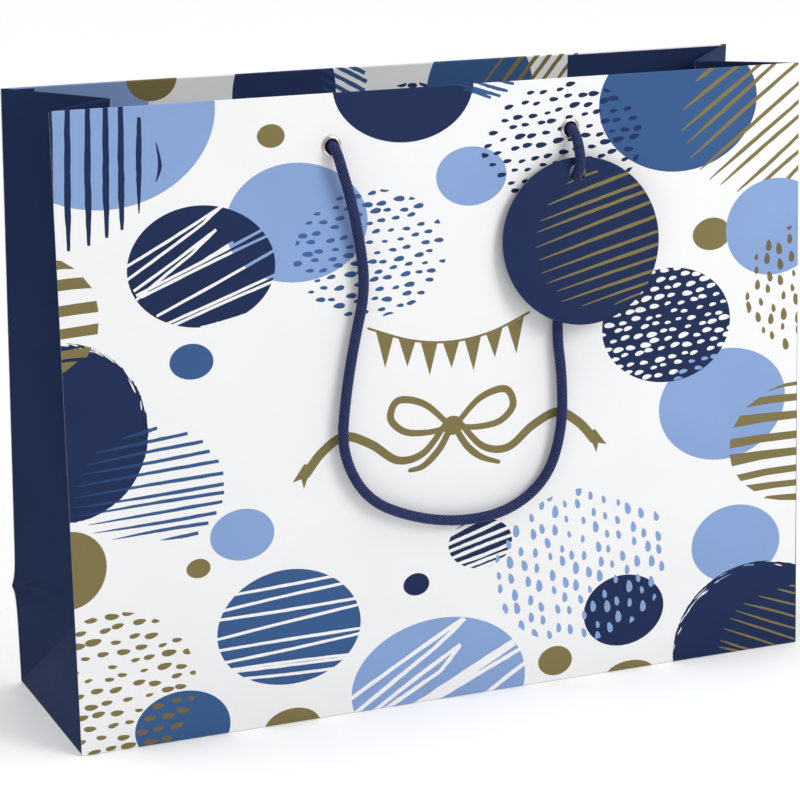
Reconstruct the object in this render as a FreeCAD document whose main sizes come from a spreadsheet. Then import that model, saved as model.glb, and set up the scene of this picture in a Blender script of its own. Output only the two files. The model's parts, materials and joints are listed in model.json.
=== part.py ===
"""A large landscape paper gift bag with rope handles and a round gift tag.

Frame: origin at the middle of the base on the floor, +X along the width, +Y from the front
panel to the back panel, +Z up. Millimetres.
Each wall of the bag (front and back) has a frame of its own: x across, y inwards from the
printed face, z up along the leaning wall, with its origin at the wall's bottom fold.
"""
import FreeCAD, Part
import math
import os
import Sketcher
from FreeCAD import Placement, Rotation, Vector

doc = FreeCAD.newDocument("gift_bag")
sheet = doc.addObject("Spreadsheet::Sheet", "Sizes")
SIZES = {
    "bag_width": 370,
    "bag_height": 288,
    "bag_depth": 100,
    "front_top_depth": 32,
    "back_top_depth": 40,
    "paper_thick": 0.3,
    "card_thick": 0.8,
    "board_thick": 1.2,
    "fold_gap": 0.3,
    "hem_depth": 40,
    "hem_margin": 3.5,
    "card_margin": 5,
    "card_depth": 37,
    "seam_width": 10,
    "seam_margin": 2.5,
    "crease_inset": 37,
    "crease_drop": 2,
    "crease_shift": 2,
    "apex_inset": 17,
    "apex_height": 47,
    "long_flap": 80,
    "side_flap": 50,
    "flap_corner": 30,
    "board_side_gap": 7,
    "board_front_gap": 2.5,
    "board_corner": 4,
    "eyelet_spacing": 118.7,
    "eyelet_offset": 3.15,
    "eyelet_drop": 23.4,
    "eyelet_bore": 2.8,
    "eyelet_wall": 0.3,
    "eyelet_flange": 4.75,
    "eyelet_crown": 0.9,
    "washer_thick": 0.3,
    "washer_radius": 5,
    "curl_radius": 3.9,
    "rope_radius": 2.5,
    "pivot_out": 5,
    "stub_gap": 0.6,
    "knot_radius": 5.2,
    "tail_length": 13,
    "tag_radius": 39.2,
    "tag_thick": 0.5,
    "tag_hole": 5,
    "tag_hole_up": 32,
    "tag_hole_x": 63.1,
    "tag_hole_z": 245.2,
    "tag_hole_out": 6.2,
    "tag_tilt": 5,
    "tag_yaw": 5,
    "tag_swing": 5,
}
for row, (alias, value) in enumerate(SIZES.items(), start=1):
    sheet.set(f"A{row}", alias)
    sheet.set(f"B{row}", str(value))
    sheet.setAlias(f"B{row}", alias)
doc.recompute()

X, Y, Z = Vector(1, 0, 0), Vector(0, 1, 0), Vector(0, 0, 1)
parts = []


def size(alias):
    return float(sheet.get(alias))


def keep(thing, label, placement=None):
    """Names a finished sub-part and puts it in its place in the bag."""
    thing.Label = label
    if placement is not None:
        thing.Placement = placement
    parts.append(thing)
    return thing


# ---------------------------------------------------------------- the two wall frames

HALF_WIDTH = size("bag_width") / 2
HALF_DEPTH = size("bag_depth") / 2
HEIGHT = size("bag_height")


def lean(top_depth):
    """How far a wall leans in, in degrees, when its top edge is top_depth from the middle."""
    return math.degrees(math.atan2(HALF_DEPTH - top_depth, HEIGHT))


FRONT_LEAN = lean(size("front_top_depth"))
BACK_LEAN = lean(size("back_top_depth"))
WALL = {
    "front": Placement(Vector(0, -HALF_DEPTH, 0), Rotation(X, -FRONT_LEAN)),
    "back": Placement(Vector(0, HALF_DEPTH, 0), Rotation(X, BACK_LEAN) * Rotation(Z, 180)),
}
# The back wall's frame is turned round, so the same bag side is the other sign of x there.
TURN = {"front": 1, "back": -1}
WALL_HEIGHT = {
    "front": HEIGHT / math.cos(math.radians(FRONT_LEAN)),
    "back": HEIGHT / math.cos(math.radians(BACK_LEAN)),
}


def on_wall(side, x=0.0, inwards=0.0, up=0.0):
    return WALL[side] * Placement(Vector(x, inwards, up), Rotation())


# ---------------------------------------------------------------- sketches and pads


def plane(body, role):
    return next(f for f in body.Origin.OriginFeatures if f.Role == role)


def new_sketch(body, role, name="outline"):
    sketch = body.newObject("Sketcher::SketchObject", name)
    sketch.AttachmentSupport = [(plane(body, role), "")]
    sketch.MapMode = "FlatFace"
    return sketch


def tie(sketch, kind, where, rule, name):
    """A distance constraint whose value follows a rule written in the sheet's own words."""
    start = float(doc_eval(rule))
    number = sketch.addConstraint(Sketcher.Constraint(kind, *where, start))
    sketch.renameConstraint(number, name)
    sketch.setExpression(f"Constraints.{name}", rule)


def doc_eval(rule):
    """The present value of a rule, so that a sketch starts out in the right shape."""
    probe = sheet.evalExpression(rule)
    return getattr(probe, "Value", probe)


def polygon(sketch, corners):
    """A closed outline through corners, each a pair of rules for its two coordinates."""
    points = [Vector(float(doc_eval(a)), float(doc_eval(b)), 0) for a, b in corners]
    first = sketch.GeometryCount
    count = len(points)
    for i in range(count):
        sketch.addGeometry(Part.LineSegment(points[i], points[(i + 1) % count]), False)
    for i in range(count):
        following = first + (i + 1) % count
        sketch.addConstraint(Sketcher.Constraint("Coincident", first + i, 2, following, 1))
    for i, (a, b) in enumerate(corners):
        tie(sketch, "DistanceX", (-1, 1, first + i, 1), a, f"x{first + i}")
        tie(sketch, "DistanceY", (-1, 1, first + i, 1), b, f"y{first + i}")


def circle(sketch, x, y, radius):
    """A circle whose centre and radius follow rules."""
    centre = Vector(float(doc_eval(x)), float(doc_eval(y)), 0)
    radius_now = float(doc_eval(radius))
    g = sketch.addGeometry(Part.Circle(centre, Z, radius_now), False)
    if x == "0" and y == "0":
        sketch.addConstraint(Sketcher.Constraint("Coincident", g, 3, -1, 1))
    else:
        tie(sketch, "DistanceX", (-1, 1, g, 3), x, f"cx{g}")
        tie(sketch, "DistanceY", (-1, 1, g, 3), y, f"cy{g}")
    number = sketch.addConstraint(Sketcher.Constraint("Radius", g, radius_now))
    sketch.renameConstraint(number, f"radius{g}")
    sketch.setExpression(f"Constraints.radius{g}", radius)


def pad(body, sketch, thickness, reverse=False):
    feature = body.newObject("PartDesign::Pad", "thickness")
    feature.Profile = sketch
    feature.setExpression("Length", thickness)
    feature.Reversed = reverse
    return feature


def sheet_piece(label, role, corners, holes, thickness, placement, reverse=False):
    """A flat piece cut from sheet: an outline with round holes, padded to its thickness."""
    body = doc.addObject("PartDesign::Body", label)
    sketch = new_sketch(body, role)
    polygon(sketch, corners)
    for x, y, radius in holes:
        circle(sketch, x, y, radius)
    pad(body, sketch, thickness, reverse)
    return keep(body, label, placement)


# ---------------------------------------------------------------- front and back walls


def wall_rule(side):
    """The rule for the length of a wall from its bottom fold to its top edge."""
    top = "front_top_depth" if side == "front" else "back_top_depth"
    return f"sqrt(Sizes.bag_height^2 + (Sizes.bag_depth / 2 - Sizes.{top})^2)"


def eyelet_rules(side):
    """The rules for the x of the two eyelets in a wall's own frame, left then right."""
    sign = "" if side == "front" else "-"
    centre = f"{sign}Sizes.eyelet_offset"
    return [f"{centre} - Sizes.eyelet_spacing / 2", f"{centre} + Sizes.eyelet_spacing / 2"]


def wall_sheet(label, side, margin, low, high, thickness, inwards, hole):
    """An upright rectangle of a wall, margin in from its two side folds."""
    half = f"Sizes.bag_width / 2 - {margin}"
    corners = [(f"-({half})", low), (half, low), (half, high), (f"-({half})", high)]
    holes = []
    if hole:
        height = f"{wall_rule(side)} - Sizes.eyelet_drop"
        holes = [(x, height, hole) for x in eyelet_rules(side)]
    place = on_wall(side, inwards=inwards)
    return sheet_piece(label, "XZ_Plane", corners, holes, thickness, place, reverse=True)


PAPER = size("paper_thick")
CARD = size("card_thick")
STACK = 2 * PAPER + CARD
BARREL_HOLE = "Sizes.eyelet_bore + Sizes.eyelet_wall + 0.05"

for side in ("front", "back"):
    top = wall_rule(side)
    wall_sheet(f"{side}_panel", side, "0", "Sizes.fold_gap", top, "Sizes.paper_thick",
               0, BARREL_HOLE)
    wall_sheet(f"{side}_reinforcing_card", side, "Sizes.card_margin",
               f"{top} - Sizes.card_depth", f"{top} - Sizes.fold_gap",
               "Sizes.card_thick", PAPER, BARREL_HOLE)
    wall_sheet(f"{side}_hem", side, "Sizes.hem_margin", f"{top} - Sizes.hem_depth", top,
               "Sizes.paper_thick", PAPER + CARD, BARREL_HOLE)

# The glue strip of the left gusset, stuck to the inside of the back panel below the hem.
seam_out = "Sizes.bag_width / 2 - Sizes.seam_margin"
seam_in = f"{seam_out} - Sizes.seam_width"
seam_top = f"{wall_rule('back')} - Sizes.hem_depth - 1"
sheet_piece("side_seam_strip", "XZ_Plane",
            [(seam_in, "4"), (seam_out, "4"), (seam_out, seam_top), (seam_in, seam_top)],
            [], "Sizes.paper_thick", on_wall("back", inwards=PAPER), reverse=True)


# ---------------------------------------------------------------- gussets


def plate(corners, towards):
    """A flat plate of paper: a polygon thickened by one sheet on the side of towards."""
    wire = Part.makePolygon(corners + corners[:1])
    face = Part.Face(wire)
    normal = (corners[1] - corners[0]).cross(corners[2] - corners[0]).normalize()
    if normal.dot(towards - corners[0]) < 0:
        normal = -normal
    return face.extrude(normal * PAPER)


def between(a, b, share):
    return a + (b - a) * share


def gusset_points(bag_side):
    """Corners of one gusset's folds; bag_side is -1 for the left gusset, 1 for the right."""
    corner_x = bag_side * (HALF_WIDTH - 0.4)
    clear = PAPER + 2 * size("fold_gap")
    low = 1.3
    points = {}
    for wall, sign, top_depth in (("front", -1, size("front_top_depth")),
                                  ("back", 1, size("back_top_depth"))):
        points[wall, "low"] = Vector(corner_x, sign * (HALF_DEPTH - clear), low)
        points[wall, "top"] = Vector(corner_x, sign * (top_depth - clear), HEIGHT - 0.3)
    top_x = bag_side * (HALF_WIDTH - size("crease_inset"))
    apex_x = bag_side * (HALF_WIDTH - size("apex_inset"))
    points["crease"] = Vector(top_x, size("crease_shift"), HEIGHT - size("crease_drop"))
    points["apex"] = Vector(apex_x, 0, size("apex_height"))
    return points


INSIDE = Vector(0, 0, HEIGHT / 2)
for name, bag_side in (("left", -1), ("right", 1)):
    p = gusset_points(bag_side)
    for wall in ("front", "back"):
        low, high, crease, apex = p[wall, "low"], p[wall, "top"], p["crease"], p["apex"]
        upper = plate([low, high, crease], INSIDE)
        lower = plate([low, crease, apex], INSIDE)
        half = doc.addObject("Part::Feature", f"{name}_gusset_{wall}_half")
        half.Shape = Part.makeCompound([upper, lower])
        keep(half, half.Name)
        # The turned-in hem lies on the inner face of the upper part.
        share = size("hem_depth") / HEIGHT
        strip = [high, crease, between(crease, low, share), between(high, low, share)]
        inner = (high - low).cross(crease - low).normalize()
        if inner.dot(INSIDE - low) < 0:
            inner = -inner
        middle = (strip[0] + strip[1] + strip[2] + strip[3]) * 0.25
        strip = [between(c, middle, 0.02) + inner * PAPER for c in strip]
        hem = doc.addObject("Part::Feature", f"{name}_gusset_{wall}_hem")
        hem.Shape = plate(strip, INSIDE)
        keep(hem, hem.Name)
    triangle = doc.addObject("Part::Feature", f"{name}_gusset_base_triangle")
    inset = 1.5
    low_front = p["front", "low"] + Y * inset
    low_back = p["back", "low"] - Y * inset
    top = p["apex"] - Z * inset
    triangle.Shape = plate([low_front, low_back, top], INSIDE)
    keep(triangle, triangle.Name)


# ---------------------------------------------------------------- base

edge_x = "Sizes.bag_width / 2 - Sizes.fold_gap"
edge_y = "Sizes.bag_depth / 2 - Sizes.paper_thick - Sizes.fold_gap"


def long_flap(label, sign, level):
    """A long base flap folded in from one wall, with its far corners cut off."""
    far = f"{edge_y} - Sizes.long_flap"
    corner = f"{far} + Sizes.flap_corner"
    narrow = f"{edge_x} - Sizes.flap_corner"
    half = [(edge_x, edge_y), (edge_x, corner), (narrow, far)]
    outline = half + [(f"-({x})", y) for x, y in reversed(half)]
    if sign < 0:
        outline = [(x, f"-({y})") for x, y in reversed(outline)]
    sheet_piece(label, "XY_Plane", outline, [], "Sizes.paper_thick",
                Placement(Vector(0, 0, level), Rotation()))


def side_flap(label, sign, level):
    """A short base flap folded in from a gusset, narrowing at 45 degrees."""
    inner = f"{edge_x} - Sizes.side_flap"
    narrow = f"{edge_y} - Sizes.flap_corner"
    outline = [(edge_x, f"-({edge_y})"), (edge_x, edge_y), (inner, narrow),
               (inner, f"-({narrow})")]
    if sign < 0:
        outline = [(f"-({x})", y) for x, y in reversed(outline)]
    sheet_piece(label, "XY_Plane", outline, [], "Sizes.paper_thick",
                Placement(Vector(0, 0, level), Rotation()))


long_flap("base_outer_flap", -1, 0)
long_flap("base_inner_flap", 1, PAPER)
side_flap("base_left_flap", -1, 2 * PAPER)
side_flap("base_right_flap", 1, 2 * PAPER)

board = doc.addObject("PartDesign::Body", "base_board")
board_sketch = new_sketch(board, "XY_Plane")
half_x = "Sizes.bag_width / 2 - Sizes.board_side_gap"
half_y = "Sizes.bag_depth / 2 - Sizes.board_front_gap"
polygon(board_sketch, [(f"-({half_x})", f"-({half_y})"), (half_x, f"-({half_y})"),
                       (half_x, half_y), (f"-({half_x})", half_y)])
board_pad = pad(board, board_sketch, "Sizes.board_thick")
doc.recompute()
upright = [f"Edge{i + 1}" for i, e in enumerate(board_pad.Shape.Edges)
           if abs(e.tangentAt(e.FirstParameter).z) > 0.9]
rounding = board.newObject("PartDesign::Fillet", "round_corners")
rounding.Base = (board_pad, upright)
rounding.setExpression("Radius", "Sizes.board_corner")
board.Tip = rounding
keep(board, "base_board", Placement(Vector(0, 0, 3 * PAPER + 0.05), Rotation()))


# ---------------------------------------------------------------- eyelets and washers


def ring_body(label, corners, placement):
    """A ring turned about the wall's normal from an outline of radius and depth rules."""
    body = doc.addObject("PartDesign::Body", label)
    sketch = new_sketch(body, "XY_Plane")
    polygon(sketch, corners)
    turn = body.newObject("PartDesign::Revolution", "turned")
    turn.Profile = sketch
    turn.ReferenceAxis = (sketch, ["V_Axis"])
    turn.Angle = 360
    return keep(body, label, placement)


STACK_RULE = "(2 * Sizes.paper_thick + Sizes.card_thick)"
BORE = "Sizes.eyelet_bore"
BARREL = f"{BORE} + Sizes.eyelet_wall"
FLANGE = "Sizes.eyelet_flange"
CROWN = "Sizes.eyelet_crown"
EYELET = [
    (BORE, f"-0.55 * {CROWN}"),
    (f"{BORE} + 0.25 * ({FLANGE} - {BORE})", f"-{CROWN}"),
    (f"{BORE} + 0.65 * ({FLANGE} - {BORE})", f"-{CROWN}"),
    (f"{BORE} + 0.93 * ({FLANGE} - {BORE})", f"-0.5 * {CROWN}"),
    (FLANGE, "-0.02"),
    (BARREL, "-0.02"),
    (BARREL, f"{STACK_RULE} + Sizes.washer_thick + 0.02"),
    ("Sizes.curl_radius", f"{STACK_RULE} + Sizes.washer_thick + 0.02"),
    ("Sizes.curl_radius", f"{STACK_RULE} + 2 * Sizes.washer_thick"),
    (BORE, f"{STACK_RULE} + 2 * Sizes.washer_thick"),
]
WASHER = [
    (f"{BARREL} + 0.05", STACK_RULE),
    ("Sizes.washer_radius", STACK_RULE),
    ("Sizes.washer_radius", f"{STACK_RULE} + 0.8 * Sizes.washer_thick"),
    (f"{BARREL} + 0.05", f"{STACK_RULE} + Sizes.washer_thick"),
]

# ---------------------------------------------------------------- rope ends

ROPE = size("rope_radius")
PIVOT_OUT = size("pivot_out")
KNOT = size("knot_radius")
KNOT_IN = STACK + 2 * size("washer_thick") + KNOT + 0.2


def rope_end(label, placement):
    """The fixed end of a handle: a stub through the eyelet, the knot inside, and its tail."""
    stub = doc.addObject("Part::Cylinder", f"{label}_stub")
    stub.setExpression("Radius", "Sizes.rope_radius")
    stub.Height = KNOT_IN + PIVOT_OUT - ROPE - size("stub_gap")
    stub.Placement = Placement(Vector(0, KNOT_IN, 0), Rotation(X, 90))
    knot = doc.addObject("Part::Sphere", f"{label}_ball")
    knot.setExpression("Radius", "Sizes.knot_radius")
    knot.Placement = Placement(Vector(0, KNOT_IN, 0), Rotation())
    tail = doc.addObject("Part::Cylinder", f"{label}_tail")
    tail.setExpression("Radius", "Sizes.rope_radius")
    tail.setExpression("Height", "Sizes.tail_length")
    tail.Placement = Placement(Vector(0, KNOT_IN, 0), Rotation(X, -160))
    whole = doc.addObject("Part::MultiFuse", f"{label}_whole")
    whole.Shapes = [stub, knot, tail]
    return keep(whole, label, placement)


for side in ("front", "back"):
    height = WALL_HEIGHT[side] - size("eyelet_drop")
    for name, bag_side in (("left", -1), ("right", 1)):
        x = TURN[side] * (size("eyelet_offset") + bag_side * size("eyelet_spacing") / 2)
        place = on_wall(side, x=x, up=height)
        ring_body(f"{side}_{name}_eyelet", EYELET, place)
        ring_body(f"{side}_{name}_washer", WASHER, place)
        rope_end(f"{side}_{name}_knot", place)


# ---------------------------------------------------------------- rope loops

# Each point is (x, out from the printed face, up the wall) in the frame of its own wall.
FRONT_ROUTE = [
    (-56.2, 5.0, 265.2),
    (-54.8, 6.3, 257.6),
    (-50.2, 5.4, 243.0),
    (-45.6, 4.3, 222.0),
    (-43.4, 4.0, 199.5),
    (-49.8, 4.0, 175.5),
    (-54.8, 4.0, 150.0),
    (-57.4, 4.0, 125.5),
    (-46.0, 4.0, 102.5),
    (-23.5, 4.0, 91.2),
    (2.0, 4.0, 86.0),
    (27.0, 4.0, 88.3),
    (46.8, 4.0, 101.8),
    (54.6, 4.0, 125.0),
    (54.9, 3.9, 149.5),
    (52.4, 3.4, 172.0),
    (55.2, 3.2, 194.5),
    (59.6, 3.0, 214.5),
    (61.8, 2.95, 231.5),
    (62.8, 2.9, 242.0),
    (63.4, 9.2, 249.0),
    (62.9, 8.2, 257.2),
    (62.5, 5.0, 265.2),
]
BACK_ROUTE = [
    (-62.5, 5.0, 264.8),
    (-63.6, 6.3, 257.4),
    (-66.4, 5.2, 243.0),
    (-68.6, 4.2, 221.5),
    (-67.2, 4.0, 197.0),
    (-62.0, 4.0, 172.5),
    (-59.2, 4.0, 147.5),
    (-54.0, 4.0, 122.5),
    (-38.5, 4.0, 102.0),
    (-15.0, 4.0, 91.6),
    (10.5, 4.0, 90.2),
    (34.5, 4.0, 97.6),
    (52.0, 4.0, 115.4),
    (58.6, 4.0, 139.5),
    (59.6, 4.0, 164.5),
    (56.4, 4.0, 189.0),
    (51.6, 4.0, 212.5),
    (50.4, 4.6, 233.5),
    (53.0, 6.0, 250.0),
    (55.2, 6.3, 257.9),
    (56.2, 5.0, 264.8),
]


def rope_path(points):
    """Straight runs joined by tangent arcs, and the list of the arcs' radii."""
    edges, radii = [], []
    at = points[0]
    for before, corner, after in zip(points, points[1:], points[2:]):
        back, on = before - corner, after - corner
        half = (math.pi - back.getAngle(on)) / 2
        reach = 0.45 * min(back.Length, on.Length)
        start = corner + back.normalize() * reach
        end = corner + on.normalize() * reach
        radius = reach / math.tan(half)
        chord_middle = (start + end) * 0.5
        inwards = (chord_middle - corner).normalize()
        crown = corner + inwards * (radius / math.cos(half) - radius)
        edges.append(Part.LineSegment(at, start).toShape())
        edges.append(Part.Arc(start, crown, end).toShape())
        radii.append(radius)
        at = end
    edges.append(Part.LineSegment(at, points[-1]).toShape())
    return Part.Wire(edges), radii


def rope_loop(label, side, route):
    points = [WALL[side].multVec(Vector(x, -out, up)) for x, out, up in route]
    path, radii = rope_path(points)
    start = (points[1] - points[0]).normalize()
    ring = Part.Wire([Part.makeCircle(ROPE, points[0], start)])
    tube = path.makePipeShell([ring], True, True)
    ideal = math.pi * ROPE ** 2 * path.Length
    share = tube.Volume / ideal
    print(label, "length %.1f" % path.Length, "volume share %.4f" % share,
          "radii", " ".join("%.0f" % r for r in radii), "smallest %.1f" % min(radii))
    loop = doc.addObject("Part::Feature", label)
    loop.Shape = tube
    return keep(loop, label)


rope_loop("front_handle_rope", "front", FRONT_ROUTE)
rope_loop("back_handle_rope", "back", BACK_ROUTE)


# ---------------------------------------------------------------- gift tag

tag = doc.addObject("PartDesign::Body", "gift_tag")
tag_sketch = new_sketch(tag, "XZ_Plane")
circle(tag_sketch, "0", "-Sizes.tag_hole_up", "Sizes.tag_radius")
circle(tag_sketch, "0", "0", "Sizes.tag_hole")
pad(tag, tag_sketch, "Sizes.tag_thick", reverse=True)
tag_spot = Vector(size("tag_hole_x"), -size("tag_hole_out"), size("tag_hole_z"))
# The card's top leans back to the wall, it faces a little to the left, and it hangs slanting.
tag_turn = (Rotation(X, -size("tag_tilt")) * Rotation(Z, -size("tag_yaw"))
            * Rotation(Y, -size("tag_swing")))
keep(tag, "gift_tag", WALL["front"] * Placement(tag_spot, tag_turn))


# ---------------------------------------------------------------- checks and files

doc.recompute()
for thing in doc.Objects:
    if "Invalid" in thing.State or "Error" in thing.State:
        raise RuntimeError(f"{thing.Name} failed: {thing.State}")
os.makedirs("parts", exist_ok=True)
for thing in parts:
    shape = thing.Shape
    if shape.isNull() or not shape.isValid():
        raise RuntimeError(f"{thing.Label} has no valid shape")
    shape.exportStep(f"parts/{thing.Label}.step")
print(len(parts), "parts written")
for side in ("front", "back"):
    pivot = on_wall(side, inwards=-PIVOT_OUT, up=WALL_HEIGHT[side] - size("eyelet_drop"))
    print(side, "handle axis at", [round(v, 3) for v in pivot.Base])
tag_place = WALL["front"] * Placement(tag_spot, tag_turn)
print("tag hole at", [round(v, 3) for v in tag_place.Base],
      "normal", [round(v, 5) for v in tag_place.Rotation.multVec(-Y)])
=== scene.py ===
"""Looks of a large landscape paper gift bag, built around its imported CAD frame.

X runs along the bag's width, Y from the front panel to the back panel, Z up. The shapes below
are in millimetres, and to_mesh() turns them into metres. A wall has a frame of its own: x
across, y inwards from the printed face, z up along the leaning wall.
"""
import json
import math
import random
from math import cos, pi, radians, sin

import bmesh
import bpy
from mathutils import Matrix, Vector, noise
from mathutils.geometry import delaunay_2d_cdt
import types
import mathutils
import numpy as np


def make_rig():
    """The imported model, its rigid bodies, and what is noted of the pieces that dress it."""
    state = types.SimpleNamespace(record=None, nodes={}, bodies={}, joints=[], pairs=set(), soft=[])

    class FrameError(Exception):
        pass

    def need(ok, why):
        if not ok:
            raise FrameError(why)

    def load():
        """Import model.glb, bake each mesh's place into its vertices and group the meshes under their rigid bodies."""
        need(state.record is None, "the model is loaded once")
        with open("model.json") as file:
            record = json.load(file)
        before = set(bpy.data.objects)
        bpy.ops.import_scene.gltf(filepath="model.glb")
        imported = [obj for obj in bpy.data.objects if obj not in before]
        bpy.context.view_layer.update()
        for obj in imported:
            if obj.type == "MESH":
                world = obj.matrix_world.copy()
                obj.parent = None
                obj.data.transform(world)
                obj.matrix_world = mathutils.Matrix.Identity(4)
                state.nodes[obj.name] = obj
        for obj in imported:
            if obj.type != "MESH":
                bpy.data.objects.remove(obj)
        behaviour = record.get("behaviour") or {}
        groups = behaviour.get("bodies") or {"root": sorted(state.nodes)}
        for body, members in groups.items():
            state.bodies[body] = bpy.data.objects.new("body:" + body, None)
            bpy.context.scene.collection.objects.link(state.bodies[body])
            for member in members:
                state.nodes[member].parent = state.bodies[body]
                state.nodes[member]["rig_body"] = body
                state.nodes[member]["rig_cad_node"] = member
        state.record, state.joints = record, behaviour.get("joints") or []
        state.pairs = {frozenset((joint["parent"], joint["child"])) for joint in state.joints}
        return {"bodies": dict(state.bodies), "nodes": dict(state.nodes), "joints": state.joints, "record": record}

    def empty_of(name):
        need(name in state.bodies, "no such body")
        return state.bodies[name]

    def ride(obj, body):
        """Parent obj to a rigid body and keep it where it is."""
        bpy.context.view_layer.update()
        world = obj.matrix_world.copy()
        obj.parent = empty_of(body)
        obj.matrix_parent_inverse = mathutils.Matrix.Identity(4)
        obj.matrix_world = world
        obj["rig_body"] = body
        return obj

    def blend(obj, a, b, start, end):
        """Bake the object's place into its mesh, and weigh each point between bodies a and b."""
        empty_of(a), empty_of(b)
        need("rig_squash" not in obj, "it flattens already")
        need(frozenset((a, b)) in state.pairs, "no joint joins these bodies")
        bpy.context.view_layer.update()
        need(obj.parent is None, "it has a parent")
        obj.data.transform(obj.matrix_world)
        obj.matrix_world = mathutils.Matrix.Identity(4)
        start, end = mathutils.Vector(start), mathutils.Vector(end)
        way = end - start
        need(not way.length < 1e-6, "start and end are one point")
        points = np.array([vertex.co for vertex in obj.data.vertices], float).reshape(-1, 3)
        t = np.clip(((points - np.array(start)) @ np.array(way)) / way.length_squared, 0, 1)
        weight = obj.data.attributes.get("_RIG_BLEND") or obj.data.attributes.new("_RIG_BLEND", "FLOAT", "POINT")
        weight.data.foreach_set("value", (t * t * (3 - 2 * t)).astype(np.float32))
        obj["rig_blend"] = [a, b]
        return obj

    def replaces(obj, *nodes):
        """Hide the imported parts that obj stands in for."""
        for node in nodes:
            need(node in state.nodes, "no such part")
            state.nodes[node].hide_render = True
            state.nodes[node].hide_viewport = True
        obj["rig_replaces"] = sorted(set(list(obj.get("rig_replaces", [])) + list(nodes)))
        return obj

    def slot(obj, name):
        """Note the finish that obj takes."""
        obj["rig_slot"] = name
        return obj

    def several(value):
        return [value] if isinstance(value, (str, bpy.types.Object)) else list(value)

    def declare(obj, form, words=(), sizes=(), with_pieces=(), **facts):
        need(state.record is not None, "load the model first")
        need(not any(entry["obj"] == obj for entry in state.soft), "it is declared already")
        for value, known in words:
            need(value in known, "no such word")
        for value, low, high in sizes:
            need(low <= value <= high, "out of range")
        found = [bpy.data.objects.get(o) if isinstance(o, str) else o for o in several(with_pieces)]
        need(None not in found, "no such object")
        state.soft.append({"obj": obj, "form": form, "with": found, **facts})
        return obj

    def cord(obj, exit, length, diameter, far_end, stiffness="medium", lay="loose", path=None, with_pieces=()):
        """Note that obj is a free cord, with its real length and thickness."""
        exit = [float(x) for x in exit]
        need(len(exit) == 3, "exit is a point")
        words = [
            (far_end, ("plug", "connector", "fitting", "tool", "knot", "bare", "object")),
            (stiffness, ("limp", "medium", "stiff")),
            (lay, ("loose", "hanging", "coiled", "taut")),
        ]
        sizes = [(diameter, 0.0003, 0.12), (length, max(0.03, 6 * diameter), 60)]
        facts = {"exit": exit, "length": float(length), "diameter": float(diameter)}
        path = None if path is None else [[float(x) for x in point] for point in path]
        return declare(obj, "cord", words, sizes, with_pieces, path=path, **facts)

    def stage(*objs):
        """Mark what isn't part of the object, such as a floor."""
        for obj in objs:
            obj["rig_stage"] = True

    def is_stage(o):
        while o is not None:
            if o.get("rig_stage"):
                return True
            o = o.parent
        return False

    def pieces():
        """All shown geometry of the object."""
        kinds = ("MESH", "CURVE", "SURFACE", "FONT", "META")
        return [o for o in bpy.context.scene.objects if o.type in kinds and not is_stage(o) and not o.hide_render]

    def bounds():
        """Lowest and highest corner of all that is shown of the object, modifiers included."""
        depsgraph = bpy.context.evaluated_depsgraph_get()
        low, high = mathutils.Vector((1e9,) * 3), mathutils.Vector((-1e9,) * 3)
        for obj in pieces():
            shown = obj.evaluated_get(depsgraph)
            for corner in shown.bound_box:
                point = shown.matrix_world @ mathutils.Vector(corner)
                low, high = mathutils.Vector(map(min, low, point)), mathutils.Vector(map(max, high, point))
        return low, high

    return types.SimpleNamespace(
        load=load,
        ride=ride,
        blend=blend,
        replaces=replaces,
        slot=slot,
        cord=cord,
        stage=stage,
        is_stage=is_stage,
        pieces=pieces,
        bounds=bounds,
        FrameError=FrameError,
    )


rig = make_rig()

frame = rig.load()
cad_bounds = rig.bounds()
MM = 0.001
scene = bpy.context.scene

# ---- sizes shared with the CAD

HALF_WIDTH, HALF_DEPTH, HEIGHT = 185.0, 50.0, 288.0
TOP_DEPTH = {"front": 32.0, "back": 40.0}
LEAN = {w: math.atan2(HALF_DEPTH - d, HEIGHT) for w, d in TOP_DEPTH.items()}
LENGTH = {w: HEIGHT / cos(a) for w, a in LEAN.items()}
WALL = {
    "front": Matrix.Translation((0, -HALF_DEPTH, 0)) @ Matrix.Rotation(-LEAN["front"], 4, "X"),
    "back": Matrix.Translation((0, HALF_DEPTH, 0)) @ Matrix.Rotation(LEAN["back"], 4, "X")
            @ Matrix.Rotation(pi, 4, "Z"),
}
TURN = {"front": 1, "back": -1}
PAPER, STACK, HEM = 0.3, 1.4, 40.0
EYELET_X = {"left": -56.2, "right": 62.5}
EYELET_DROP, ROPE = 23.4, 2.5

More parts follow.
